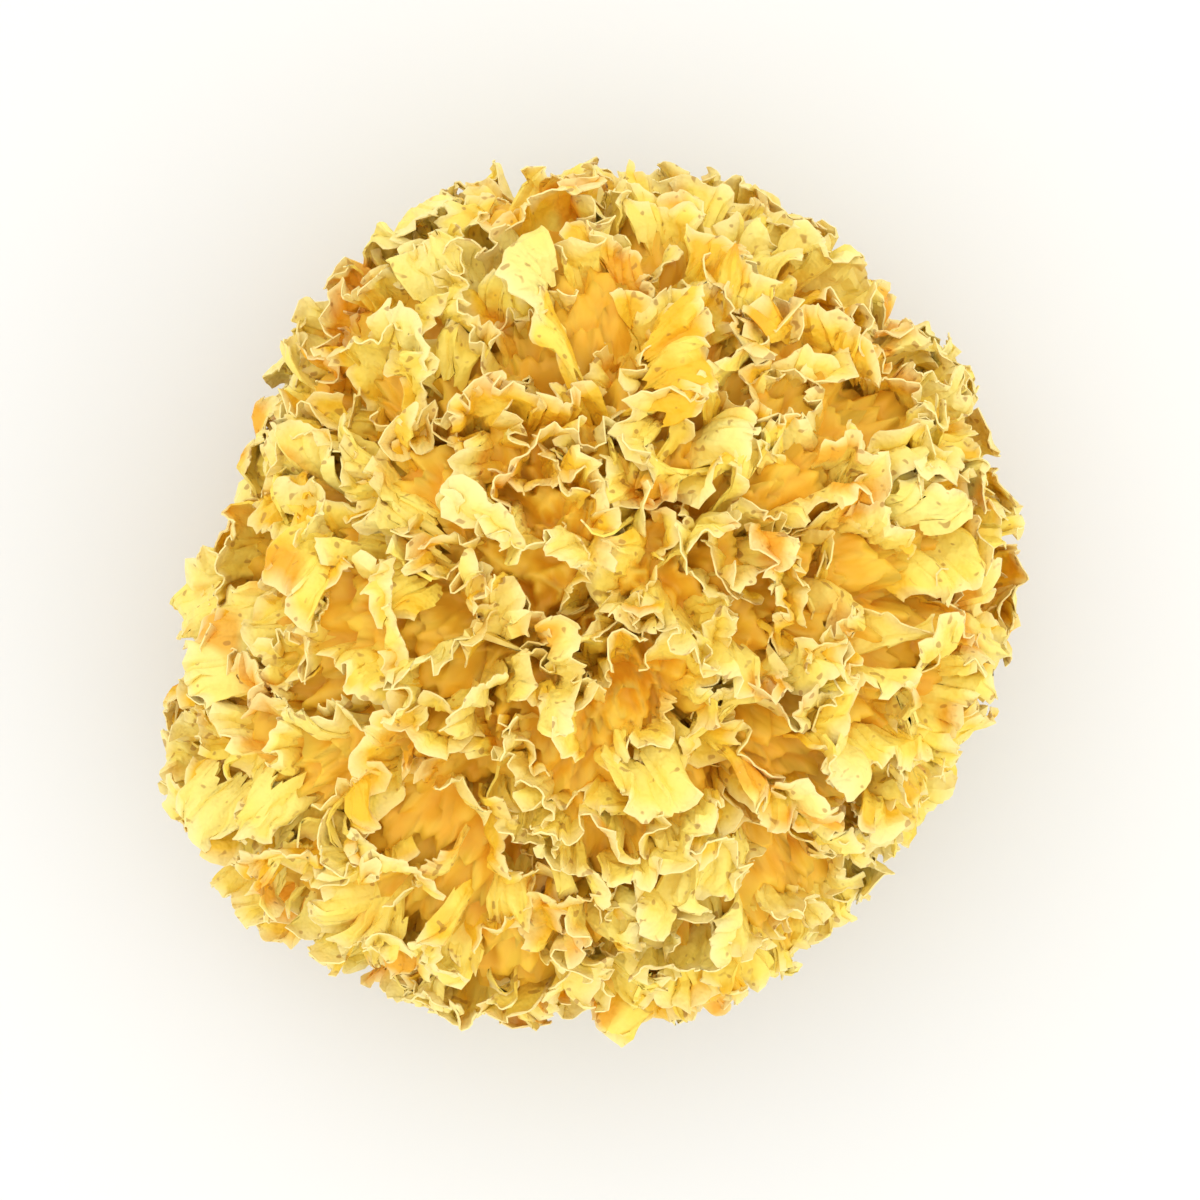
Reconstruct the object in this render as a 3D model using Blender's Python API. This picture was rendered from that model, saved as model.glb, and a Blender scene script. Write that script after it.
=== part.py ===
"""Head of dried snow fungus, a frilled white jelly mushroom, resting on its cut foot.

Blender 4.5, metres, +Z up. The origin is the centre of the cut foot.
The head grew as one piece, so it is one solid: a squashed ball of frond clumps
whose skin is folded into wandering frill crests with deep gaps between them.
"""

import math

import bmesh
import bpy
from mathutils import Vector, noise

# Size of the whole head
GIRTH_RADIUS = 0.0500
HEAD_HEIGHT = 0.0620
GIRTH_HEIGHT = 0.0270
UNDERSIDE_DROP = 0.0255
DOME_FULLNESS = 2.35

# The outline seen from above, as (waves round the head, share of the radius, angle of the first crest)
OUTLINE_WAVES = (
    (1, 0.019, -163.0),
    (2, 0.056, 113.0),
    (3, 0.034, -48.0),
    (4, 0.022, 76.0),
    (5, 0.014, -68.0),
)

# The cut foot, its ragged edge and the calm skin round it
FOOT_RADIUS = 0.0165
FOOT_FLARE = 0.0060
FOOT_CALM = 0.0180
FOOT_SINK = 0.0030
FOOT_RAGGEDNESS = 0.0012
RAGGED_WAVES = 9.0
LOWEST_FRILL_SLOPE = -0.2

# The clumps of fronds and the furrows between them
CLUMP_COUNT = 22
CLUMP_SHAKE = 0.22
CLUMP_SHAKE_WAVES = 3.7
CLUMP_SHAKE_SHIFT = Vector((4.0, 9.0, 2.0))
CLUMP_LIFT = 0.0022
CLUMP_LIFT_WAVES = 2.6
CLUMP_LIFT_SHIFT = Vector((2.0, 8.0, 6.0))
FURROW_DEPTH = 0.0065
FURROW_WIDTH = 0.11
FURROW_WANDER = 0.16
FURROW_WANDER_WAVES = 4.0
FURROW_STRENGTH = 0.65
FURROW_STRENGTH_CHANGE = 0.5
FURROW_STRENGTH_WAVES = 3.0
FURROW_STRENGTH_SHIFT = Vector((1.0, 5.0, 7.0))

# The frill crests
FRILL_DEPTH = 0.0095
FRILL_SPACING = 0.0135
FRILL_SHARPNESS = 1.2
FRILL_LEAN = 0.0040
LEAN_SPACING = 1.7 * FRILL_SPACING
FINE_DEPTH = 0.0009
FINE_SPACING = 0.0055
FINE_SHIFT = Vector((0.2, 0.1, 0.3))
CREST_WIDTH = 0.42
CREST_DRIFT = 0.55
CREST_DRIFT_WAVES = 0.9
CREST_DETAIL = 0.45
CREST_DETAIL_WAVES = 2.1
CREST_DETAIL_SHIFT = Vector((7.0, 3.0, 5.0))

# The mesh
SPHERE_STEPS = 7
KEPT_TRIANGLES = 9000
CUTTER_SIZE = 0.1

HEART = Vector((0.0, 0.0, GIRTH_HEIGHT))
GOLDEN_ANGLE = math.pi * (3.0 - math.sqrt(5.0))
DRIFT_SHIFTS = (
    Vector((5.2, 1.3, 9.7)),
    Vector((8.4, 2.8, 3.1)),
    Vector((1.9, 7.6, 4.5)),
)


def drift(place):
    """A smooth wandering vector that depends only on the place."""
    return Vector([noise.noise(place + shift) for shift in DRIFT_SHIFTS])


def smooth_step(low, high, value):
    """0 below low, 1 above high, with a soft rise between them."""
    share = min(1.0, max(0.0, (value - low) / (high - low)))
    return share * share * (3.0 - 2.0 * share)


def clump_directions():
    """The middle of each clump as a direction from the heart, spread evenly and then shaken."""
    directions = []
    for index in range(CLUMP_COUNT):
        height = 1.0 - 2.0 * (index + 0.5) / CLUMP_COUNT
        ring = math.sqrt(1.0 - height * height)
        turn = index * GOLDEN_ANGLE
        even = Vector((ring * math.cos(turn), ring * math.sin(turn), height))
        shaken = even + CLUMP_SHAKE * drift(CLUMP_SHAKE_WAVES * even + CLUMP_SHAKE_SHIFT)
        directions.append(shaken.normalized())
    return directions


CLUMPS = clump_directions()


def outline_radius(angle):
    """Radius of the head at its girth, at an angle round the vertical axis."""
    waves = sum(
        share * math.cos(count * (angle - math.radians(crest) / count))
        for count, share, crest in OUTLINE_WAVES
    )
    return GIRTH_RADIUS * (1.0 + waves)


def dome_reach(direction):
    """Distance from the heart to the smooth squashed ball that wraps the head."""
    across = math.hypot(direction.x, direction.y)
    radius = outline_radius(math.atan2(direction.y, direction.x))
    rise = HEAD_HEIGHT - GIRTH_HEIGHT if direction.z > 0.0 else UNDERSIDE_DROP
    total = (across / radius) ** DOME_FULLNESS + (abs(direction.z) / rise) ** DOME_FULLNESS
    return total ** (-1.0 / DOME_FULLNESS)


def floor_spread(direction):
    """How far from the axis the line from the heart in a direction meets the floor."""
    if direction.z > LOWEST_FRILL_SLOPE:
        return math.inf
    ragged = FOOT_RAGGEDNESS * noise.noise(RAGGED_WAVES * direction)
    return GIRTH_HEIGHT * math.hypot(direction.x, direction.y) / -direction.z + ragged


def foot_share(spread):
    """1 over the cut foot, 0 outside its flare."""
    return 1.0 - smooth_step(FOOT_RADIUS, FOOT_RADIUS + FOOT_FLARE, spread)


def frill_room(spread):
    """0 at the cut foot, rising to 1 where the skin is fully frilled."""
    return smooth_step(FOOT_RADIUS, FOOT_RADIUS + FOOT_CALM, spread)


def furrow_share(direction):
    """1 in the middle of a furrow between two clumps, 0 on a clump."""
    warped = direction + FURROW_WANDER * drift(FURROW_WANDER_WAVES * direction)
    warped.normalize()
    nearest = sorted(warped.angle(clump) for clump in CLUMPS)[:2]
    change = noise.noise(FURROW_STRENGTH_WAVES * direction + FURROW_STRENGTH_SHIFT)
    strength = FURROW_STRENGTH + FURROW_STRENGTH_CHANGE * change
    return strength * math.exp(-(((nearest[1] - nearest[0]) / FURROW_WIDTH) ** 2))


def crest_share(place, spacing):
    """1 on a frill crest and towards 0 in the gap between two crests, at a place in space."""
    at = place / spacing
    at = at + CREST_DRIFT * drift(CREST_DRIFT_WAVES * at)
    detail = noise.noise(CREST_DETAIL_WAVES * at + CREST_DETAIL_SHIFT)
    wander = noise.noise(at) + CREST_DETAIL * detail
    return max(0.0, 1.0 - abs(wander) / CREST_WIDTH)


def wrap_point(direction):
    """The point of the skin before it is frilled: the squashed ball with its clumps and furrows."""
    lift = CLUMP_LIFT * noise.noise(CLUMP_LIFT_WAVES * direction + CLUMP_LIFT_SHIFT)
    reach = dome_reach(direction) + lift - FURROW_DEPTH * furrow_share(direction)
    return HEART + reach * direction


def sideways_lean(place, direction):
    """How far a full crest leans over at a place, square to the direction from the heart."""
    lean = drift(place / LEAN_SPACING)
    return FRILL_LEAN * (lean - lean.dot(direction) * direction)


def skin_point(direction):
    """The point of the frilled skin seen from the heart in a direction."""
    spread = floor_spread(direction)
    room = frill_room(spread)
    place = wrap_point(direction)
    crest = crest_share(place, FRILL_SPACING)
    fine = crest_share(place + FINE_SHIFT, FINE_SPACING)
    sunk = FRILL_DEPTH * (1.0 - crest) ** FRILL_SHARPNESS + FINE_DEPTH * (1.0 - fine)
    frilled = place + room * (crest * sideways_lean(place, direction) - sunk * direction)
    foot = foot_share(spread)
    if foot == 0.0:
        return frilled
    stump = HEART + direction * (GIRTH_HEIGHT + FOOT_SINK) / -direction.z
    return frilled.lerp(stump, foot)


def flesh_material():
    """Dry translucent flesh, golden cream."""
    material = bpy.data.materials.new("dry_flesh")
    material.use_nodes = True
    shader = material.node_tree.nodes["Principled BSDF"]
    shader.inputs["Base Color"].default_value = (0.84, 0.56, 0.13, 1.0)
    shader.inputs["Roughness"].default_value = 0.55
    shader.inputs["Metallic"].default_value = 0.0
    return material


def box_below_floor(collection):
    """The block that trims the foot off flat at the level of the origin."""
    mesh = bpy.data.meshes.new("foot_cutter")
    shape = bmesh.new()
    bmesh.ops.create_cube(shape, size=CUTTER_SIZE)
    bmesh.ops.translate(shape, verts=shape.verts, vec=(0.0, 0.0, -0.5 * CUTTER_SIZE))
    shape.to_mesh(mesh)
    shape.free()
    cutter = bpy.data.objects.new("foot_cutter", mesh)
    cutter.hide_render = True
    cutter.display_type = "WIRE"
    collection.objects.link(cutter)
    return cutter


def frilled_skin():
    """The closed skin of the head, folded into frills."""
    mesh = bpy.data.meshes.new("fruit_body")
    shape = bmesh.new()
    bmesh.ops.create_icosphere(shape, subdivisions=SPHERE_STEPS, radius=1.0)
    for vertex in shape.verts:
        vertex.co = skin_point(vertex.co.normalized())
    shape.to_mesh(mesh)
    shape.free()
    mesh.materials.append(flesh_material())
    return mesh


def fruit_body(collection, cutter):
    """The whole head: the frilled skin, thinned out and cut off flat at the foot."""
    mesh = frilled_skin()
    head = bpy.data.objects.new("fruit_body", mesh)
    collection.objects.link(head)
    thin = head.modifiers.new("thin_out", "DECIMATE")
    thin.ratio = KEPT_TRIANGLES / len(mesh.polygons)
    trim = head.modifiers.new("cut_foot", "BOOLEAN")
    trim.operation = "DIFFERENCE"
    trim.object = cutter
    return head


def new_collection(name):
    """A collection in the scene."""
    collection = bpy.data.collections.new(name)
    bpy.context.scene.collection.children.link(collection)
    return collection


def main():
    """Clears the scene and builds the head."""
    for old in list(bpy.data.objects):
        bpy.data.objects.remove(old)
    cutters = new_collection("cutters")
    parts = new_collection("snow_fungus")
    fruit_body(parts, box_below_floor(cutters))


main()
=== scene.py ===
"""Looks of one head of dried snow fungus, a frilled white jelly mushroom.

Blender 4.5, metres, +Z up. The head rests on its cut foot, crown up. It is a dense
ball of thin, crumpled fronds that all grow from one inner flesh.
"""

import logging
import math
from dataclasses import dataclass, field
from enum import Enum
from functools import cached_property

import bmesh
import bpy
import numpy as np
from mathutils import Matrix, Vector, noise


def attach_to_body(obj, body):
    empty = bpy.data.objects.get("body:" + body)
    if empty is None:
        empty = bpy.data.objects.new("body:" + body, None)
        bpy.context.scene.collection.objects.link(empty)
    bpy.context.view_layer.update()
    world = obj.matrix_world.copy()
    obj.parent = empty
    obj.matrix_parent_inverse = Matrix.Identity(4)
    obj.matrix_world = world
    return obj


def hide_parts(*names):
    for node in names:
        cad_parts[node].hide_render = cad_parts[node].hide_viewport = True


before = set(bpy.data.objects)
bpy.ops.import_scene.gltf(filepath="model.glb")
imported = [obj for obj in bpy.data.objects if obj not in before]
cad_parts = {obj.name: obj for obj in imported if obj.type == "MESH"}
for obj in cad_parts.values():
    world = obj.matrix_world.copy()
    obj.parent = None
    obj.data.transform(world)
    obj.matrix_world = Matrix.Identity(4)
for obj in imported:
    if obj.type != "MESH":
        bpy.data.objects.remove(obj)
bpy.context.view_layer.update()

NODE = "fruit_body"
BODY = "root"

MM = 0.001
FULL_TURN = 2.0 * math.pi
GOLDEN_ANGLE = math.pi * (3.0 - math.sqrt(5.0))
TINY = 1e-12
SHARP_ANGLE = math.radians(38.0)
SLANT = np.array([0.31, 0.47, 0.83])
DRIFT_SHIFTS = ((5.2, 1.3, 9.7), (8.4, 2.8, 3.1), (1.9, 7.6, 4.5))
WANDER_WAVES = ((0.6, 1.0), (0.35, 0.57), (0.2, 0.31))
Colour = tuple[float, float, float, float]
Place = tuple[float, float, float]

log = logging.getLogger("snow_fungus")


def noise_at(points: np.ndarray) -> np.ndarray:
    """Smooth noise at each of a list of points.

    Args:
        points: Places, one row each.

    Returns:
        One value between about -1 and 1 for each row.
    """
    return np.array([noise.noise(Vector(point)) for point in points])


def drift_at(points: np.ndarray) -> np.ndarray:
    """A smooth wandering vector at each of a list of points.

    Args:
        points: Places, one row each.

    Returns:
        One vector for each row.
    """
    return np.stack([noise_at(points + np.array(shift)) for shift in DRIFT_SHIFTS], axis=1)


def unit(vectors: np.ndarray) -> np.ndarray:
    """Vectors brought to length 1.

    Args:
        vectors: Vectors along the last axis.

    Returns:
        The same directions with length 1.
    """
    lengths = np.linalg.norm(vectors, axis=-1, keepdims=True)
    return vectors / np.maximum(lengths, TINY)


def smooth_step(low: float, high: float, values: np.ndarray) -> np.ndarray:
    """A soft rise from 0 below one value to 1 above another.

    Args:
        low: Where the rise starts.
        high: Where the rise ends.
        values: The values to look up.

    Returns:
        The share of the rise at each value.
    """
    share = np.clip((values - low) / (high - low), 0.0, 1.0)
    return share * share * (3.0 - 2.0 * share)


def crease(phase: np.ndarray) -> np.ndarray:
    """A wave of straight runs with sharp turns, as in folded brittle film.

    Args:
        phase: The place along the wave, in radians.

    Returns:
        Values from -1 to 1.
    """
    return 2.0 / math.pi * np.arcsin(np.sin(phase))


def face_normals(sheet: np.ndarray) -> np.ndarray:
    """The direction off the face of a sheet at each of its points.

    Args:
        sheet: A grid of points.

    Returns:
        One unit vector for each point.
    """
    return unit(np.cross(np.gradient(sheet, axis=1), np.gradient(sheet, axis=0)))


def spiral_directions(count: int) -> np.ndarray:
    """Directions spread evenly over a ball along a spiral.

    Args:
        count: How many directions.

    Returns:
        Unit vectors, one row each, from the top down.
    """
    index = np.arange(count)
    height = 1.0 - 2.0 * (index + 0.5) / count
    ring = np.sqrt(1.0 - height * height)
    turn = index * GOLDEN_ANGLE
    return np.stack([ring * np.cos(turn), ring * np.sin(turn), height], axis=1)


class Mottle(Enum):
    """How finely a colour or the relief changes over the flesh, as noise waves in a metre."""

    CLOUD = 70.0
    STAIN = 140.0
    PATCH = 260.0
    WRINKLE = 620.0
    SPECK = 900.0


@dataclass(frozen=True)
class HeadForm:
    """The smooth squashed ball that wraps the head, with its clumps of fronds and furrows."""

    girth_radius: float = 50.0 * MM
    head_height: float = 62.0 * MM
    girth_height: float = 27.0 * MM
    underside_drop: float = 25.5 * MM
    fullness: float = 2.35
    outline_waves: tuple[tuple[int, float, float], ...] = (
        (1, 0.019, -163.0),
        (2, 0.056, 113.0),
        (3, 0.034, -48.0),
        (4, 0.022, 76.0),
        (5, 0.014, -68.0),
    )
    foot_radius: float = 16.5 * MM
    lowest_slope: float = -0.2
    clump_count: int = 22
    clump_shake: float = 0.22
    clump_shake_waves: float = 3.7
    clump_shake_shift: Place = (4.0, 9.0, 2.0)
    clump_lift: float = 2.2 * MM
    clump_lift_waves: float = 2.6
    clump_lift_shift: Place = (2.0, 8.0, 6.0)
    furrow_depth: float = 6.5 * MM
    furrow_width: float = 0.11
    furrow_wander: float = 0.16
    furrow_wander_waves: float = 4.0
    furrow_strength: float = 0.65
    furrow_change: float = 0.5
    furrow_change_waves: float = 3.0
    furrow_change_shift: Place = (1.0, 5.0, 7.0)

    @property
    def heart(self) -> np.ndarray:
        """The point that all fronds grow away from."""
        return np.array([0.0, 0.0, self.girth_height])

    @cached_property
    def clumps(self) -> np.ndarray:
        """The middle of each clump, as a direction from the heart."""
        even = spiral_directions(self.clump_count)
        drift = drift_at(self.clump_shake_waves * even + np.array(self.clump_shake_shift))
        return unit(even + self.clump_shake * drift)

    def reach(self, directions: np.ndarray) -> np.ndarray:
        """How far the smooth ball reaches from the heart.

        Args:
            directions: Unit vectors from the heart, one row each.

        Returns:
            One distance for each row.
        """
        angle = np.arctan2(directions[:, 1], directions[:, 0])
        waves = sum(
            share * np.cos(count * angle - math.radians(crest))
            for count, share, crest in self.outline_waves
        )
        radius = self.girth_radius * (1.0 + waves)
        across = np.hypot(directions[:, 0], directions[:, 1]) / radius
        rise = np.where(directions[:, 2] > 0.0, self.head_height - self.girth_height, self.underside_drop)
        total = across**self.fullness + (np.abs(directions[:, 2]) / rise) ** self.fullness
        return total ** (-1.0 / self.fullness)

    def furrow(self, directions: np.ndarray) -> np.ndarray:
        """How deep the furrows between clumps are: near 1 in the deepest and 0 on a clump.

        Args:
            directions: Unit vectors from the heart, one row each.

        Returns:
            One share of the full depth for each row.
        """
        drift = drift_at(self.furrow_wander_waves * directions)
        warped = unit(directions + self.furrow_wander * drift)
        angles = np.sort(np.arccos(np.clip(warped @ self.clumps.T, -1.0, 1.0)), axis=1)
        change = noise_at(self.furrow_change_waves * directions + np.array(self.furrow_change_shift))
        strength = self.furrow_strength + self.furrow_change * change
        return strength * np.exp(-(((angles[:, 1] - angles[:, 0]) / self.furrow_width) ** 2))

    def wrap(self, directions: np.ndarray) -> np.ndarray:
        """How far the fronds reach from the heart, with clumps raised and furrows sunk.

        Args:
            directions: Unit vectors from the heart, one row each.

        Returns:
            One distance for each row.
        """
        places = self.clump_lift_waves * directions + np.array(self.clump_lift_shift)
        lift = self.clump_lift * noise_at(places)
        return self.reach(directions) + lift - self.furrow_depth * self.furrow(directions)

    def floor_spread(self, directions: np.ndarray) -> np.ndarray:
        """How far from the axis each line from the heart meets the floor.

        Args:
            directions: Unit vectors from the heart, one row each.

        Returns:
            One distance for each row, endless where the line misses the floor nearby.
        """
        down = np.maximum(-directions[:, 2], TINY)
        spread = self.girth_height * np.hypot(directions[:, 0], directions[:, 1]) / down
        return np.where(directions[:, 2] > self.lowest_slope, np.inf, spread)

    def fill_share(self, points: np.ndarray) -> np.ndarray:
        """How far out each point lies, 0 at the heart and 1 on the smooth ball."""
        away = points - self.heart
        return np.linalg.norm(away, axis=1) / self.reach(unit(away))


@dataclass
class Mesh:
    """Points, faces and painted values of one mesh that is still being gathered."""

    points: list[np.ndarray] = field(default_factory=list)
    faces: list[np.ndarray] = field(default_factory=list)
    paints: dict[str, list[np.ndarray]] = field(default_factory=dict)
    count: int = 0

    def add(self, points: np.ndarray, faces: np.ndarray, **paints: np.ndarray) -> None:
        """Adds one closed shape.

        Args:
            points: Its points, one row each.
            faces: Its faces, as rows of four point numbers.
            paints: A value for each point under each name.
        """
        self.points.append(points)
        self.faces.append(faces + self.count)
        self.count += len(points)
        for name, values in paints.items():
            self.paints.setdefault(name, []).append(values)

    def to_object(self, name: str) -> bpy.types.Object:
        """Makes the gathered shapes one object.

        Args:
            name: The object's name.

        Returns:
            The new object, linked to the scene and shaded smooth.
        """
        mesh = bpy.data.meshes.new(name)
        mesh.from_pydata(np.concatenate(self.points).tolist(), [], np.concatenate(self.faces).tolist())
        for paint, values in self.paints.items():
            layer = mesh.attributes.new(paint, "FLOAT", "POINT")
            layer.data.foreach_set("value", np.concatenate(values).astype(np.float32))
        mesh.shade_smooth()
        mesh.set_sharp_from_angle(angle=SHARP_ANGLE)
        made = bpy.data.objects.new(name, mesh)
        bpy.context.scene.collection.objects.link(made)
        return made


@dataclass(frozen=True)
class FrillRange:
    """How one kind of frill varies, each size from its least to its most."""

    run: tuple[float, float]
    depth: tuple[float, float]
    inset: tuple[float, float]
    curl: tuple[float, float]
    wavelength: tuple[float, float]
    sway: tuple[float, float]
    tone: tuple[float, float]


class FrillKind(Enum):
    """The kinds of frill that make up the head."""

    RUFFLE = FrillRange(
        run=(12.0 * MM, 25.0 * MM),
        depth=(8.0 * MM, 9.5 * MM),
        inset=(0.0, 3.4 * MM),
        curl=(0.2, 1.2),
        wavelength=(2.9 * MM, 4.8 * MM),
        sway=(0.24, 0.40),
        tone=(0.15, 0.95),
    )
    ROLLED = FrillRange(
        run=(10.0 * MM, 20.0 * MM),
        depth=(8.0 * MM, 10.0 * MM),
        inset=(0.0, 3.4 * MM),
        curl=(0.9, 1.7),
        wavelength=(3.4 * MM, 5.6 * MM),
        sway=(0.18, 0.32),
        tone=(0.1, 1.0),
    )
    FLAKE = FrillRange(
        run=(6.0 * MM, 11.0 * MM),
        depth=(8.5 * MM, 10.5 * MM),
        inset=(0.0, 2.4 * MM),
        curl=(1.3, 1.9),
        wavelength=(4.5 * MM, 8.0 * MM),
        sway=(0.10, 0.20),
        tone=(0.0, 0.35),
    )
    UNDERGROWTH = FrillRange(
        run=(8.0 * MM, 15.0 * MM),
        depth=(6.0 * MM, 7.0 * MM),
        inset=(2.6 * MM, 4.0 * MM),
        curl=(0.4, 1.4),
        wavelength=(2.9 * MM, 4.6 * MM),
        sway=(0.24, 0.38),
        tone=(0.4, 1.0),
    )


@dataclass(frozen=True)
class Layer:
    """One layer of frills: how many there are room for all round, and the share of each kind."""

    count: int
    kinds: tuple[tuple[FrillKind, float], ...]


@dataclass(frozen=True)
class FrillSeat:
    """Where one frill grows: its middle on the head, the root of its clump and its kind."""

    direction: np.ndarray
    clump_root: np.ndarray
    kind: FrillKind


@dataclass(frozen=True)
class Frill:
    """One thin ribbon of dry flesh, rooted along a wandering line, with a ruffled rim that leans over."""

    run: float
    depth: float
    curl: float
    wavelength: float
    sway: float
    inset: float
    crumple: float
    rows: int = 6
    row_crowding: float = 0.6
    least_columns: int = 12
    column_width: float = 0.30 * MM
    profile_steps: int = 28
    root_thickness: float = 0.45 * MM
    rim_thickness: float = 0.18 * MM
    bend: float = 0.9
    bend_wave: float = 17.0 * MM
    end_taper: float = 0.35
    end_depth: float = 0.65
    depth_change: float = 0.16
    depth_wave: float = 4.0 * MM
    raggedness: float = 0.045
    straight_share: float = 0.3
    curl_growth: float = 1.6
    curl_change: float = 0.55
    curl_wave: float = 12.0 * MM
    ruffle_growth: float = 1.2
    phase_change: float = 1.2
    phase_wave: float = 2.2
    phase_lean: float = 0.5
    phase_lean_wave: float = 9.0 * MM
    swing_least: float = 0.75
    swing_change: float = 0.5
    swing_wave: float = 8.0 * MM
    crimp: float = 0.09
    crimp_waves: float = 2.3
    crimp_lean: float = 1.5
    gathering: float = 0.30
    tilt: float = 0.38
    sink: float = 1.1 * MM
    sink_wave: float = 10.0 * MM
    foot_sink: float = 3.0 * MM
    foot_sink_run: float = 4.0 * MM
    creases: tuple[tuple[float, float], ...] = ((4.6 * MM, 1.0), (2.3 * MM, 0.6))
    crease_share: float = 0.6
    root_crumple: float = 0.35
    fitting_passes: int = 3
    fitting_slack: float = -0.02

    @property
    def places(self) -> np.ndarray:
        """Evenly spaced places along the root line, 0 in its middle."""
        columns = max(self.least_columns, round(self.run / self.column_width))
        return np.linspace(-0.5, 0.5, columns + 1) * self.run

    def rim_line(self, form: HeadForm, seat: FrillSeat, rng: np.random.Generator) -> np.ndarray:
        """The wandering line over the head that the rim follows.

        Args:
            form: The ball that wraps the head.
            seat: Where the frill grows.
            rng: Source of its chance variation.

        Returns:
            Unit vectors from the heart, one row for each place along it.
        """
        places = self.places
        heading = rng.uniform(0.0, FULL_TURN) + self.bend * wander(rng, places, self.bend_wave)
        step = places[1] - places[0]
        x = np.cumsum(np.cos(heading)) * step
        y = np.cumsum(np.sin(heading)) * step
        middle = len(places) // 2
        first = unit(np.cross(seat.direction, SLANT))
        second = np.cross(seat.direction, first)
        offset = np.outer(x - x[middle], first) + np.outer(y - y[middle], second)
        return unit(seat.direction + offset / form.reach(seat.direction[None])[0])

    @property
    def row_shares(self) -> np.ndarray:
        """How near the rim each row is, 0 at the root and 1 at the rim, closer together at the rim."""
        crowded = np.linspace(0.0, 1.0, self.rows + 1) ** self.row_crowding
        return np.round(self.profile_steps * crowded)[:, None] / self.profile_steps

    def outer(self, share: np.ndarray) -> np.ndarray:
        """How far along the curling part each share of the depth is, 0 on the straight part."""
        return np.clip((share - self.straight_share) / (1.0 - self.straight_share), 0.0, 1.0)

    def profile(self, rng: np.random.Generator) -> tuple[np.ndarray, np.ndarray, np.ndarray]:
        """The curled frill before it is ruffled.

        Args:
            rng: Source of its chance variation.

        Returns:
            Shifts sideways and outwards, as grids of rows and columns, and how far each point
            leans over, in radians.
        """
        places = self.places
        ends = smooth_step(0.0, self.end_taper, 1.0 - np.abs(2.0 * places / self.run))
        ragged = rng.normal(scale=self.raggedness, size=len(places))
        change = self.depth_change * wander(rng, places, self.depth_wave)
        tapered = self.end_depth + (1.0 - self.end_depth) * ends
        depth = self.depth * tapered * (1.0 + change + ragged)
        curl = self.curl + self.curl_change * wander(rng, places, self.curl_wave)
        fine = np.linspace(0.0, 1.0, self.profile_steps + 1)[:, None]
        lean = curl * self.outer(fine) ** self.curl_growth
        out = depth * np.cumsum(np.cos(lean), axis=0) / self.profile_steps
        aside = depth * np.cumsum(np.sin(lean), axis=0) / self.profile_steps
        rows = np.round(self.row_shares[:, 0] * self.profile_steps).astype(int)
        return aside[rows], out[rows], lean[rows]

    def section(self, rng: np.random.Generator) -> tuple[np.ndarray, np.ndarray, np.ndarray]:
        """The curled and ruffled frill, opened out along its root line.

        Args:
            rng: Source of its chance variation.

        Returns:
            Shifts along the line, sideways and outwards, as grids of rows and columns.
        """
        places = self.places
        share = self.row_shares
        aside, out, lean = self.profile(rng)
        drift = self.phase_change * wander(rng, places, self.phase_wave * self.wavelength)
        phase = FULL_TURN * places / self.wavelength + drift
        phase = phase + share * self.phase_lean * (1.0 + wander(rng, places, self.phase_lean_wave))
        change = self.swing_least + self.swing_change * wander(rng, places, self.swing_wave)
        swing = self.sway * self.wavelength * change
        ruffle = swing * self.outer(share) ** self.ruffle_growth * np.sin(phase)
        second = self.crimp_waves * phase + self.crimp_lean * share + rng.uniform(0.0, FULL_TURN)
        ruffle = ruffle + self.crimp * self.wavelength * share * np.sin(second)
        along = -self.gathering * swing * share**2 * np.sin(2.0 * phase)
        return along, aside + ruffle * np.cos(lean), out - ruffle * np.sin(lean)

    def rim_reach(self, form: HeadForm, line: np.ndarray, rng: np.random.Generator) -> np.ndarray:
        """How far out the rim stands along its line.

        Args:
            form: The ball that wraps the head.
            line: The line, as unit vectors from the heart.
            rng: Source of its chance variation.

        Returns:
            One distance from the heart for each place.
        """
        sunk = self.inset + self.sink * (1.0 + wander(rng, self.places, self.sink_wave))
        spread = form.floor_spread(line) - form.foot_radius
        sunk = sunk + self.foot_sink * (1.0 - smooth_step(0.0, self.foot_sink_run, spread))
        return form.wrap(line) - sunk

    def sheet(
        self, form: HeadForm, seat: FrillSeat, rng: np.random.Generator
    ) -> tuple[np.ndarray, np.ndarray]:
        """The middle of the frill where it grows on the head.

        Args:
            form: The ball that wraps the head.
            seat: Where the frill grows.
            rng: Source of its chance variation.

        Returns:
            The points as a grid of rows and columns, and how near the rim each is.
        """
        line = self.rim_line(form, seat, rng)
        along, aside, out = self.section(rng)
        reach = self.rim_reach(form, line, rng)
        tips = reach[:, None] * line
        up = unit(unit(tips - seat.clump_root) + rng.normal(scale=self.tilt, size=3))
        side = unit(np.cross(up, np.gradient(tips, axis=0)))
        ahead = np.cross(side, up)
        out = out - out.max(axis=0)
        points = tips + out[..., None] * up + aside[..., None] * side + along[..., None] * ahead
        share = self.row_shares
        points = self.crumpled(points, rng, share) + form.heart
        target = reach / form.reach(line)
        return self.fitted(points, form, line, target), np.broadcast_to(share, out.shape)

    def crumpled(self, points: np.ndarray, rng: np.random.Generator, near_rim: np.ndarray) -> np.ndarray:
        """Folds a sheet along straight creases that run every way.

        Args:
            points: The sheet as a grid of points.
            rng: Source of its chance variation.
            near_rim: How near the rim each point is.

        Returns:
            The crumpled sheet.
        """
        result = points
        strength = self.crumple * (self.root_crumple + (1.0 - self.root_crumple) * near_rim)
        for size, part in self.creases:
            waves = unit(rng.normal(size=(3, 3))) * FULL_TURN / size
            fold = points @ waves.T + rng.uniform(0.0, FULL_TURN, 3)
            shift = self.crease_share * crease(fold) + (1.0 - self.crease_share) * np.sin(fold)
            result = result + part * shift * strength[..., None]
        return result

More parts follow.
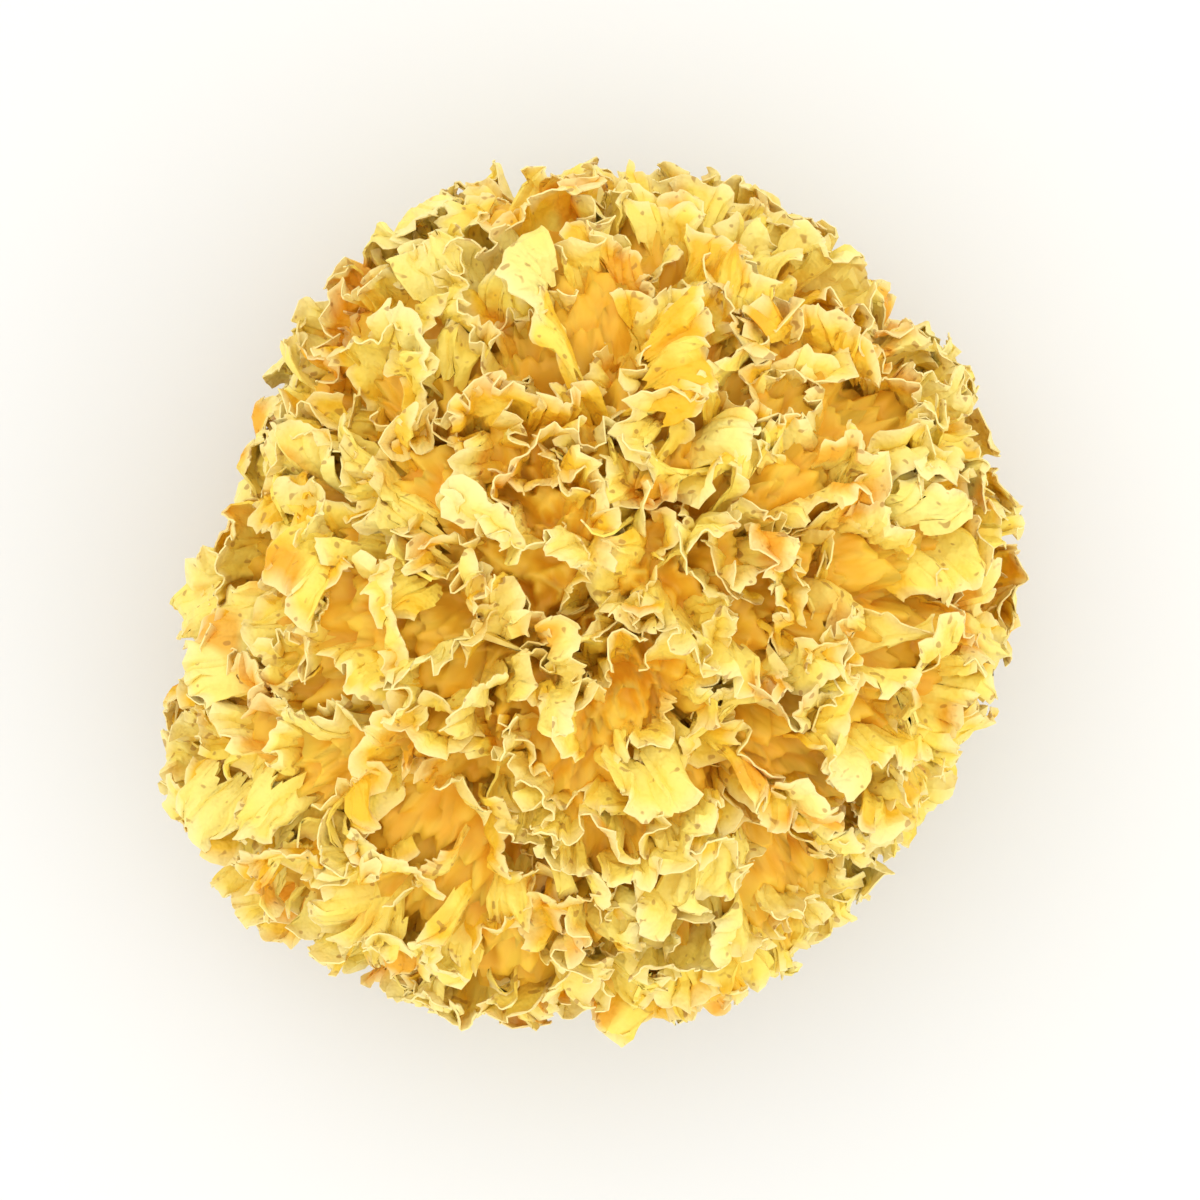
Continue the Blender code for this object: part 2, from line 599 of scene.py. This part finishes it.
    def fitted(
        self, points: np.ndarray, form: HeadForm, line: np.ndarray, target: np.ndarray
    ) -> np.ndarray:
        """Draws a frill in towards the heart until it stands no prouder than it should.

        Args:
            points: The sheet as a grid of points.
            form: The ball that wraps the head.
            line: The line that its rim follows, as unit vectors from the heart.
            target: How far out each column may reach, as a share of the ball.

        Returns:
            The sheet at its final place.
        """
        result = points
        grid = points.shape[:2]
        window = np.hanning(2 * round(self.wavelength / self.column_width) + 3)
        half = len(window) // 2
        for _ in range(self.fitting_passes):
            share = form.fill_share(result.reshape(-1, 3)).reshape(grid).max(axis=0)
            excess = np.maximum(share - target, self.fitting_slack)
            padded = np.pad(excess, half, mode="edge")
            eased = np.convolve(padded, window / window.sum(), mode="valid")
            result = result - (eased * form.reach(line))[:, None] * line
        middle = line[len(line) // 2]
        highest = form.fill_share(result.reshape(-1, 3)).max()
        return result - max(0.0, highest - 1.0) * form.reach(middle[None])[0] * middle

    def closed(self, sheet: np.ndarray, near_rim: np.ndarray) -> tuple[np.ndarray, np.ndarray]:
        """Gives a sheet its thickness.

        Args:
            sheet: The middle of the frill as a grid of points.
            near_rim: How near the rim each point is.

        Returns:
            The points of both sides of the frill, and the faces that close it.
        """
        normal = face_normals(sheet)
        thickness = self.root_thickness + (self.rim_thickness - self.root_thickness) * near_rim
        offset = 0.5 * thickness[..., None] * normal
        points = np.concatenate([(sheet + offset).reshape(-1, 3), (sheet - offset).reshape(-1, 3)])
        return points, slab_faces(*sheet.shape[:2])


def wander(rng: np.random.Generator, places: np.ndarray, spacing: float) -> np.ndarray:
    """A smooth chance wave along a line.

    Args:
        rng: Source of its chance variation.
        places: Places along the line.
        spacing: The length of its longest wave.

    Returns:
        Values from about -1 to 1, one for each place.
    """
    total = np.zeros_like(places)
    for share, part in WANDER_WAVES:
        total = total + share * np.sin(FULL_TURN * (places / (spacing * part) + rng.uniform()))
    return total


def slab_faces(rows: int, columns: int) -> np.ndarray:
    """The faces of a sheet that has been given thickness.

    Args:
        rows: Rows of points in the sheet.
        columns: Columns of points in the sheet.

    Returns:
        Rows of four point numbers: the two faces of the sheet and the strip round its edge.
    """
    number = np.arange(rows * columns).reshape(rows, columns)
    under = rows * columns
    corners = (number[:-1, :-1], number[:-1, 1:], number[1:, 1:], number[1:, :-1])
    top = np.stack([corner.ravel() for corner in corners], axis=1)
    bottom = top[:, ::-1] + under
    loop = np.concatenate([number[0, :-1], number[:-1, -1], number[-1, :0:-1], number[:0:-1, 0]])
    after = np.roll(loop, -1)
    strip = np.stack([after, loop, loop + under, after + under], axis=1)
    return np.concatenate([top, bottom, strip])


@dataclass
class FrillField:
    """All frills of the head, in bands from the crown down to the underside."""

    form: HeadForm
    layers: tuple[Layer, ...] = (
        Layer(400, ((FrillKind.RUFFLE, 0.52), (FrillKind.ROLLED, 0.32), (FrillKind.FLAKE, 0.16))),
        Layer(220, ((FrillKind.UNDERGROWTH, 1.0),)),
    )
    seed: int = 64
    shake: float = 0.05
    flattening: float = 0.8
    root_share: float = 0.15
    foot_gap: float = 2.0 * MM
    crumple: tuple[float, float] = (0.28 * MM, 0.58 * MM)
    inset_bias: float = 1.5
    tone_change: float = 0.15
    tone_wave: float = 14.0 * MM
    floor_clearance: float = 0.5 * MM
    floor_softness: float = 1.5 * MM
    floor_reach: float = 4.0
    top: float = 1.01
    bands: tuple[tuple[str, float], ...] = (
        ("crown_fronds", 0.58),
        ("shoulder_fronds", 0.24),
        ("upper_girth_fronds", -0.07),
        ("lower_girth_fronds", -0.42),
        ("underside_fronds", -1.01),
    )

    @cached_property
    def seats(self) -> list[FrillSeat]:
        """Where each frill grows, layer by layer."""
        form = self.form
        rng = np.random.default_rng(self.seed)
        roots = self.root_share * form.reach(form.clumps)[:, None] * form.clumps
        seats = []
        for layer in self.layers:
            even = spiral_directions(layer.count) * np.array([1.0, 1.0, self.flattening])
            shaken = unit(unit(even) + rng.normal(scale=self.shake, size=even.shape))
            kept = shaken[form.floor_spread(shaken) > form.foot_radius + self.foot_gap]
            nearest = np.argmax(kept @ form.clumps.T, axis=1)
            kinds, shares = zip(*layer.kinds)
            chosen = rng.choice(len(kinds), size=len(kept), p=shares)
            for direction, clump, kind in zip(kept, nearest, chosen):
                seats.append(FrillSeat(direction, roots[clump], kinds[kind]))
        return seats

    def chance_frill(self, kind: FrillRange, rng: np.random.Generator) -> Frill:
        """Picks the sizes of one frill within the range of its kind.

        Args:
            kind: How its kind varies.
            rng: Source of its chance variation.

        Returns:
            The frill.
        """
        return Frill(
            run=rng.uniform(*kind.run),
            depth=rng.uniform(*kind.depth),
            curl=rng.uniform(*kind.curl) * rng.choice((-1.0, 1.0)),
            wavelength=rng.uniform(*kind.wavelength),
            sway=rng.uniform(*kind.sway),
            inset=kind.inset[0] + (kind.inset[1] - kind.inset[0]) * rng.uniform() ** self.inset_bias,
            crumple=rng.uniform(*self.crumple),
        )

    def add_frill(self, seat: FrillSeat, rng: np.random.Generator, mesh: Mesh) -> None:
        """Builds one frill and adds it to a mesh.

        Args:
            seat: Where the frill grows.
            rng: Source of its chance variation.
            mesh: The mesh that takes it.
        """
        kind = seat.kind.value
        frill = self.chance_frill(kind, rng)
        sheet, near_rim = frill.sheet(self.form, seat, rng)
        points, faces = frill.closed(sheet, near_rim)
        points[:, 2] = self.above_floor(points[:, 2])
        rim = np.tile(near_rim.ravel(), 2)
        depth = 1.0 - self.form.fill_share(points)
        tone = rng.uniform(*kind.tone) + self.tone_change * wander(rng, frill.places, self.tone_wave)
        tone = np.tile(np.clip(tone, 0.0, 1.0), 2 * (frill.rows + 1))
        mesh.add(points, faces, rim=rim, depth=depth, tone=tone)

    def above_floor(self, heights: np.ndarray) -> np.ndarray:
        """Presses softly upwards what would reach under the floor.

        Args:
            heights: Heights of points.

        Returns:
            Heights that all stay above the floor.
        """
        over = (heights - self.floor_clearance) / self.floor_softness
        pressed = np.logaddexp(0.0, over) * self.floor_softness + self.floor_clearance
        return np.where(over > self.floor_reach, heights, pressed)

    def build(self) -> list[bpy.types.Object]:
        """Builds every band.

        Returns:
            One object for each band, from the crown down.
        """
        rng = np.random.default_rng(self.seed + 1)
        made = []
        top = self.top
        for name, bottom in self.bands:
            mesh = Mesh()
            for seat in self.seats:
                if bottom < seat.direction[2] <= top:
                    self.add_frill(seat, rng, mesh)
            made.append(mesh.to_object(name))
            top = bottom
        return made


@dataclass
class InnerFlesh:
    """The flesh that all fronds grow from, with the cut foot under it."""

    form: HeadForm
    sphere_steps: int = 7
    sink: float = 5.6 * MM
    ridge_depth: float = 3.2 * MM
    ridge_spacing: float = 3.4 * MM
    ridge_width: float = 0.42
    ridge_drift: float = 0.55
    ridge_drift_waves: float = 0.9
    ridge_detail: float = 0.45
    ridge_detail_waves: float = 2.1
    ridge_detail_shift: Place = (7.0, 3.0, 5.0)
    foot_edge: float = 2.5 * MM
    foot_relief: float = 0.9 * MM
    relief_spacing: float = 1.6 * MM
    ragged: float = 3.0 * MM
    torn_waves: float = 7.0
    shred_waves: float = 21.0
    shred_share: float = 0.6

    def ridges(self, points: np.ndarray) -> np.ndarray:
        """1 on a frill ridge and 0 between ridges.

        Args:
            points: Places, one row each.

        Returns:
            One share for each row.
        """
        at = points / self.ridge_spacing
        at = at + self.ridge_drift * drift_at(self.ridge_drift_waves * at)
        detail = noise_at(self.ridge_detail_waves * at + np.array(self.ridge_detail_shift))
        wandering = noise_at(at) + self.ridge_detail * detail
        return np.maximum(0.0, 1.0 - np.abs(wandering) / self.ridge_width)

    def torn_edge(self, directions: np.ndarray) -> np.ndarray:
        """How far the torn edge of the cut foot stands out or in, along each direction."""
        torn = noise_at(self.torn_waves * directions)
        return self.ragged * (torn + self.shred_share * noise_at(self.shred_waves * directions))

    def skin(self, directions: np.ndarray) -> tuple[np.ndarray, np.ndarray]:
        """The skin of the inner flesh and the share of the cut foot in it.

        Args:
            directions: Unit vectors from the heart, one row each.

        Returns:
            One point for each row, and 1 for those on the cut foot.
        """
        form = self.form
        spread = form.floor_spread(directions) + self.torn_edge(directions) - form.foot_radius
        foot = 1.0 - smooth_step(-self.foot_edge, self.foot_edge, spread)
        reach = form.wrap(directions) - self.sink
        places = form.heart + reach[:, None] * directions
        ridge = self.ridges(places)
        skin = places - (self.ridge_depth * (1.0 - ridge))[:, None] * directions
        down = np.minimum(directions[:, 2], form.lowest_slope)
        stump = form.heart + directions * (-form.girth_height / down)[:, None]
        share = foot[:, None]
        points = skin * (1.0 - share) + stump * share
        relief = self.foot_relief * 0.5 * (1.0 + noise_at(points / self.relief_spacing))
        lifted = np.maximum(points[:, 2], relief * foot)
        points[:, 2] = np.where(foot > 0.0, lifted, points[:, 2])
        return points, foot

    def build(self) -> bpy.types.Object:
        """Builds the inner flesh.

        Returns:
            The closed mesh as an object.
        """
        shape = bmesh.new()
        bmesh.ops.create_icosphere(shape, subdivisions=self.sphere_steps, radius=1.0)
        directions = unit(np.array([vertex.co[:] for vertex in shape.verts]))
        points, foot = self.skin(directions)
        for vertex, point in zip(shape.verts, points):
            vertex.co = point
        mesh = bpy.data.meshes.new("inner_flesh")
        shape.to_mesh(mesh)
        shape.free()
        depth = 1.0 - self.form.fill_share(points)
        for name, values in (("depth", depth), ("foot", foot)):
            layer = mesh.attributes.new(name, "FLOAT", "POINT")
            layer.data.foreach_set("value", values.astype(np.float32))
        mesh.shade_smooth()
        made = bpy.data.objects.new("inner_flesh", mesh)
        bpy.context.scene.collection.objects.link(made)
        return made


@dataclass(frozen=True)
class FrondFinish:
    """Dry jelly film, golden in its face, with a painted glow at the pale rim and painted warm shade,
    amber, deep in the head.
    """

    # Painted glow: the rim colour is a paler cream standing in for light through the thin rims.
    rim_glow_colour: Colour = (0.96, 0.81, 0.35, 1.0)
    pale_colour: Colour = (0.96, 0.80, 0.22, 1.0)
    golden_colour: Colour = (0.96, 0.74, 0.11, 1.0)
    # The amber and deep colours below are painted warm shade, laid on by depth between the fronds.
    amber_shade_colour: Colour = (0.95, 0.66, 0.05, 1.0)
    deep_colour: Colour = (0.92, 0.48, 0.02, 1.0)
    toasted_colour: Colour = (0.92, 0.55, 0.03, 1.0)
    stain_colour: Colour = (0.88, 0.38, 0.012, 1.0)
    speck_colour: Colour = (0.40, 0.16, 0.02, 1.0)
    tone_share: float = 0.65
    patch_share: float = 0.5
    cloud_share: float = 0.35
    pale_until: float = 0.45
    golden_at: float = 0.88
    stain_band: tuple[float, float] = (0.62, 0.72)
    stain_share: float = 0.8
    # Band and share of the painted glow at the rims.
    rim_glow_band: tuple[float, float] = (0.78, 1.0)
    rim_glow_share: float = 0.85
    # Bands and shares of the painted warm shade, by depth in the head.
    amber_shade_band: tuple[float, float] = (0.08, 0.28)
    amber_shade_share: float = 0.6
    deep_shade_band: tuple[float, float] = (0.24, 0.46)
    deep_shade_share: float = 1.0
    speck_band: tuple[float, float] = (0.72, 0.78)
    speck_share: float = 0.6
    roughness: float = 0.42
    specular: float = 0.25
    wrinkle_strength: float = 0.9
    wrinkle_height: float = 0.60 * MM

    def material(self) -> bpy.types.Material:
        """The material of the fronds.

        Returns:
            A dry film whose colour follows the frond's own tone, with painted warm shade by depth and a
            painted glow at the rim.
        """
        material = bpy.data.materials.new("dry_frond_film")
        material.use_nodes = True
        tree = material.node_tree
        shader = tree.nodes["Principled BSDF"]
        shader.inputs["Roughness"].default_value = self.roughness
        shader.inputs["Specular IOR Level"].default_value = self.specular
        tree.links.new(self.colour(tree), shader.inputs["Base Color"])
        tree.links.new(self.wrinkles(tree), shader.inputs["Normal"])
        return material

    def own_shade(self, tree: bpy.types.NodeTree) -> bpy.types.NodeSocket:
        """The colour of a frond's face, from its own tone and soft patches.

        Args:
            tree: The material's nodes.

        Returns:
            The socket that gives the colour.
        """
        tone = math_node(tree, "MULTIPLY", attribute(tree, "tone"), self.tone_share)
        patches = math_node(tree, "MULTIPLY", noise_value(tree, Mottle.PATCH, 1.0), self.patch_share)
        clouds = math_node(tree, "MULTIPLY", noise_value(tree, Mottle.CLOUD, 0.0), self.cloud_share)
        own = math_node(tree, "ADD", math_node(tree, "ADD", tone, patches), clouds)
        stops = (
            (self.pale_until, self.pale_colour),
            (self.golden_at, self.golden_colour),
            (1.0, self.toasted_colour),
        )
        return ramp(tree, own, stops)

    def colour(self, tree: bpy.types.NodeTree) -> bpy.types.NodeSocket:
        """The colour of the film, with a painted glow at the rim and painted warm shade by depth.

        Args:
            tree: The material's nodes.

        Returns:
            The socket that gives the colour.
        """
        layers = (
            (noise_value(tree, Mottle.STAIN, 0.0), self.stain_band, self.stain_share, self.stain_colour),
            # Painted glow: paler cream laid on near each rim.
            (attribute(tree, "rim"), self.rim_glow_band, self.rim_glow_share, self.rim_glow_colour),
            # Painted warm shade: amber, then deeper orange, laid on by depth in the head.
            (attribute(tree, "depth"), self.amber_shade_band, self.amber_shade_share, self.amber_shade_colour),
            (attribute(tree, "depth"), self.deep_shade_band, self.deep_shade_share, self.deep_colour),
            (noise_value(tree, Mottle.SPECK, 0.0), self.speck_band, self.speck_share, self.speck_colour),
        )
        shade = self.own_shade(tree)
        for value, band, share, colour in layers:
            shade = mix(tree, rise(tree, value, band, share), shade, colour)
        return shade

    def wrinkles(self, tree: bpy.types.NodeTree) -> bpy.types.NodeSocket:
        """Fine wrinkles of the dry film.

        Args:
            tree: The material's nodes.

        Returns:
            The socket that gives the wrinkled normal.
        """
        node = tree.nodes.new("ShaderNodeBump")
        node.inputs["Strength"].default_value = self.wrinkle_strength
        node.inputs["Distance"].default_value = self.wrinkle_height
        tree.links.new(noise_value(tree, Mottle.WRINKLE, 2.0), node.inputs["Height"])
        return node.outputs["Normal"]


def attribute(tree: bpy.types.NodeTree, name: str) -> bpy.types.NodeSocket:
    """A painted value of the mesh.

    Args:
        tree: The material's nodes.
        name: The painted value's name.

    Returns:
        The socket that gives it.
    """
    node = tree.nodes.new("ShaderNodeAttribute")
    node.attribute_name = name
    return node.outputs["Fac"]


def noise_value(tree: bpy.types.NodeTree, mottle: Mottle, detail: float) -> bpy.types.NodeSocket:
    """Soft noise over the object's own space.

    Args:
        tree: The material's nodes.
        mottle: How far its changes spread.
        detail: How many finer layers it has.

    Returns:
        The socket that gives it, from 0 to 1.
    """
    place = tree.nodes.new("ShaderNodeTexCoord")
    node = tree.nodes.new("ShaderNodeTexNoise")
    node.inputs["Scale"].default_value = mottle.value
    node.inputs["Detail"].default_value = detail
    tree.links.new(place.outputs["Object"], node.inputs["Vector"])
    return node.outputs["Fac"]


def math_node(
    tree: bpy.types.NodeTree,
    operation: str,
    first: bpy.types.NodeSocket,
    second: bpy.types.NodeSocket | float,
) -> bpy.types.NodeSocket:
    """A sum worked out in the material.

    Args:
        tree: The material's nodes.
        operation: What is done with the two values.
        first: The first value.
        second: The second value, a socket or a number.

    Returns:
        The socket that gives the result.
    """
    node = tree.nodes.new("ShaderNodeMath")
    node.operation = operation
    tree.links.new(first, node.inputs[0])
    if isinstance(second, float):
        node.inputs[1].default_value = second
    else:
        tree.links.new(second, node.inputs[1])
    return node.outputs["Value"]


def ramp(
    tree: bpy.types.NodeTree, value: bpy.types.NodeSocket, stops: tuple[tuple[float, Colour], ...]
) -> bpy.types.NodeSocket:
    """Colours along a value.

    Args:
        tree: The material's nodes.
        value: The value to look up.
        stops: Places from 0 to 1 with the colour at each.

    Returns:
        The socket that gives the colour.
    """
    node = tree.nodes.new("ShaderNodeValToRGB")
    elements = node.color_ramp.elements
    while len(elements) < len(stops):
        elements.new(0.5)
    for element, (place, colour) in zip(elements, stops):
        element.position = place
        element.color = colour
    tree.links.new(value, node.inputs["Fac"])
    return node.outputs["Color"]


def rise(
    tree: bpy.types.NodeTree, value: bpy.types.NodeSocket, band: tuple[float, float], share: float
) -> bpy.types.NodeSocket:
    """A share that rises from 0 as a value crosses a band.

    Args:
        tree: The material's nodes.
        value: The value to look up.
        band: Where the rise starts and ends.
        share: What it rises to.

    Returns:
        The socket that gives the share.
    """
    none = (0.0, 0.0, 0.0, 1.0)
    full = (share, share, share, 1.0)
    return ramp(tree, value, ((band[0], none), (band[1], full)))


def mix(
    tree: bpy.types.NodeTree,
    share: bpy.types.NodeSocket,
    under: bpy.types.NodeSocket,
    over: Colour | bpy.types.NodeSocket,
) -> bpy.types.NodeSocket:
    """One colour laid over another.

    Args:
        tree: The material's nodes.
        share: How much of the upper colour shows.
        under: The lower colour.
        over: The upper colour, a socket or a colour.

    Returns:
        The socket that gives the mixed colour.
    """
    node = tree.nodes.new("ShaderNodeMix")
    node.data_type = "RGBA"
    tree.links.new(share, node.inputs["Factor"])
    tree.links.new(under, node.inputs["A"])
    if isinstance(over, bpy.types.NodeSocket):
        tree.links.new(over, node.inputs["B"])
    else:
        node.inputs["B"].default_value = over
    return node.outputs["Result"]


@dataclass(frozen=True)
class InnerFinish:
    """Dense dry flesh: amber between the fronds, brown and fibrous where the foot is cut."""

    flesh_colour: Colour = (0.94, 0.58, 0.04, 1.0)
    deep_colour: Colour = (0.90, 0.47, 0.02, 1.0)
    foot_colour: Colour = (0.40, 0.20, 0.05, 1.0)
    fibre_colour: Colour = (0.80, 0.52, 0.17, 1.0)
    flesh_band: tuple[float, float] = (0.35, 0.65)
    fibre_band: tuple[float, float] = (0.40, 0.66)
    roughness: float = 0.6

    def material(self) -> bpy.types.Material:
        """The material of the inner flesh.

        Returns:
            A soft amber flesh with a browner cut foot.
        """
        material = bpy.data.materials.new("dense_amber_flesh")
        material.use_nodes = True
        tree = material.node_tree
        shader = tree.nodes["Principled BSDF"]
        patches = noise_value(tree, Mottle.PATCH, 1.0)
        flesh = ramp(tree, patches, tuple(zip(self.flesh_band, (self.deep_colour, self.flesh_colour))))
        fibres = noise_value(tree, Mottle.WRINKLE, 2.0)
        cut = ramp(tree, fibres, tuple(zip(self.fibre_band, (self.foot_colour, self.fibre_colour))))
        tree.links.new(mix(tree, attribute(tree, "foot"), flesh, cut), shader.inputs["Base Color"])
        shader.inputs["Roughness"].default_value = self.roughness
        return material


@dataclass(frozen=True)
class Lamp:
    """One soft square light: where it hangs, the length of its side and its power in watts."""

    name: str
    place: Place
    size: float
    power: float


@dataclass(frozen=True)
class Studio:
    """Plain pale floor, soft light and the camera over the crown."""

    floor_size: float = 6.0
    floor_colour: Colour = (0.83, 0.83, 0.81, 1.0)
    floor_roughness: float = 0.9
    sky_colour: Colour = (1.0, 1.0, 1.0, 1.0)
    sky_strength: float = 1.22
    lamps: tuple[Lamp, ...] = (
        Lamp("broad_key", (-0.45, 0.55, 0.90), 0.7, 0.7),
        Lamp("soft_fill", (0.70, -0.35, 0.60), 0.8, 0.8),
    )
    lens: float = 135.0
    sensor: float = 36.0
    fill: float = 0.74
    object_span: float = 0.101
    focus_height: float = 0.027

    def floor(self) -> None:
        """Lays the floor."""
        shape = bmesh.new()
        bmesh.ops.create_grid(shape, x_segments=1, y_segments=1, size=0.5 * self.floor_size)
        mesh = bpy.data.meshes.new("floor")
        shape.to_mesh(mesh)
        shape.free()
        material = bpy.data.materials.new("pale_floor")
        material.use_nodes = True
        shader = material.node_tree.nodes["Principled BSDF"]
        shader.inputs["Base Color"].default_value = self.floor_colour
        shader.inputs["Roughness"].default_value = self.floor_roughness
        mesh.materials.append(material)
        floor = bpy.data.objects.new("floor", mesh)
        bpy.context.scene.collection.objects.link(floor)

    def hang(self, lamp: Lamp) -> None:
        """Hangs one light so that it faces the head.

        Args:
            lamp: The light.
        """
        data = bpy.data.lights.new(lamp.name, "AREA")
        data.size = lamp.size
        data.energy = lamp.power
        made = bpy.data.objects.new(lamp.name, data)
        made.location = lamp.place
        aim = Vector((0.0, 0.0, self.focus_height)) - Vector(lamp.place)
        made.rotation_euler = aim.to_track_quat("-Z", "Y").to_euler()
        bpy.context.scene.collection.objects.link(made)

    def light(self) -> None:
        """Hangs the lights and sets the pale surroundings."""
        for lamp in self.lamps:
            self.hang(lamp)
        world = bpy.data.worlds.new("pale_room")
        world.use_nodes = True
        background = world.node_tree.nodes["Background"]
        background.inputs["Color"].default_value = self.sky_colour
        background.inputs["Strength"].default_value = self.sky_strength
        bpy.context.scene.world = world
        bpy.context.scene.view_settings.view_transform = "Standard"

    def camera(self) -> None:
        """Sets the camera straight over the crown."""
        data = bpy.data.cameras.new("over_the_crown")
        data.lens = self.lens
        data.sensor_width = self.sensor
        made = bpy.data.objects.new("over_the_crown", data)
        distance = self.object_span / self.fill * self.lens / self.sensor
        made.location = (0.0, 0.0, self.focus_height + distance)
        bpy.context.scene.collection.objects.link(made)
        bpy.context.scene.camera = made


def attach(piece: bpy.types.Object, material: bpy.types.Material) -> None:
    """Dresses a piece, ties it to the head's body and hides the head's node from model.glb.

    Args:
        piece: The piece.
        material: Its finish.
    """
    piece.data.materials.append(material)
    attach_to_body(piece, BODY)
    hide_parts(NODE)
    triangles = sum(len(face.vertices) - 2 for face in piece.data.polygons)
    log.info("%s: %d triangles", piece.name, triangles)


def main() -> None:
    """Builds the head and the studio round it."""
    logging.basicConfig(level=logging.INFO, format="%(name)s: %(message)s")
    form = HeadForm()
    attach(InnerFlesh(form).build(), InnerFinish().material())
    film = FrondFinish().material()
    for band in FrillField(form).build():
        attach(band, film)
    studio = Studio()
    studio.floor()
    studio.light()
    studio.camera()


if __name__ == "__main__":
    main()
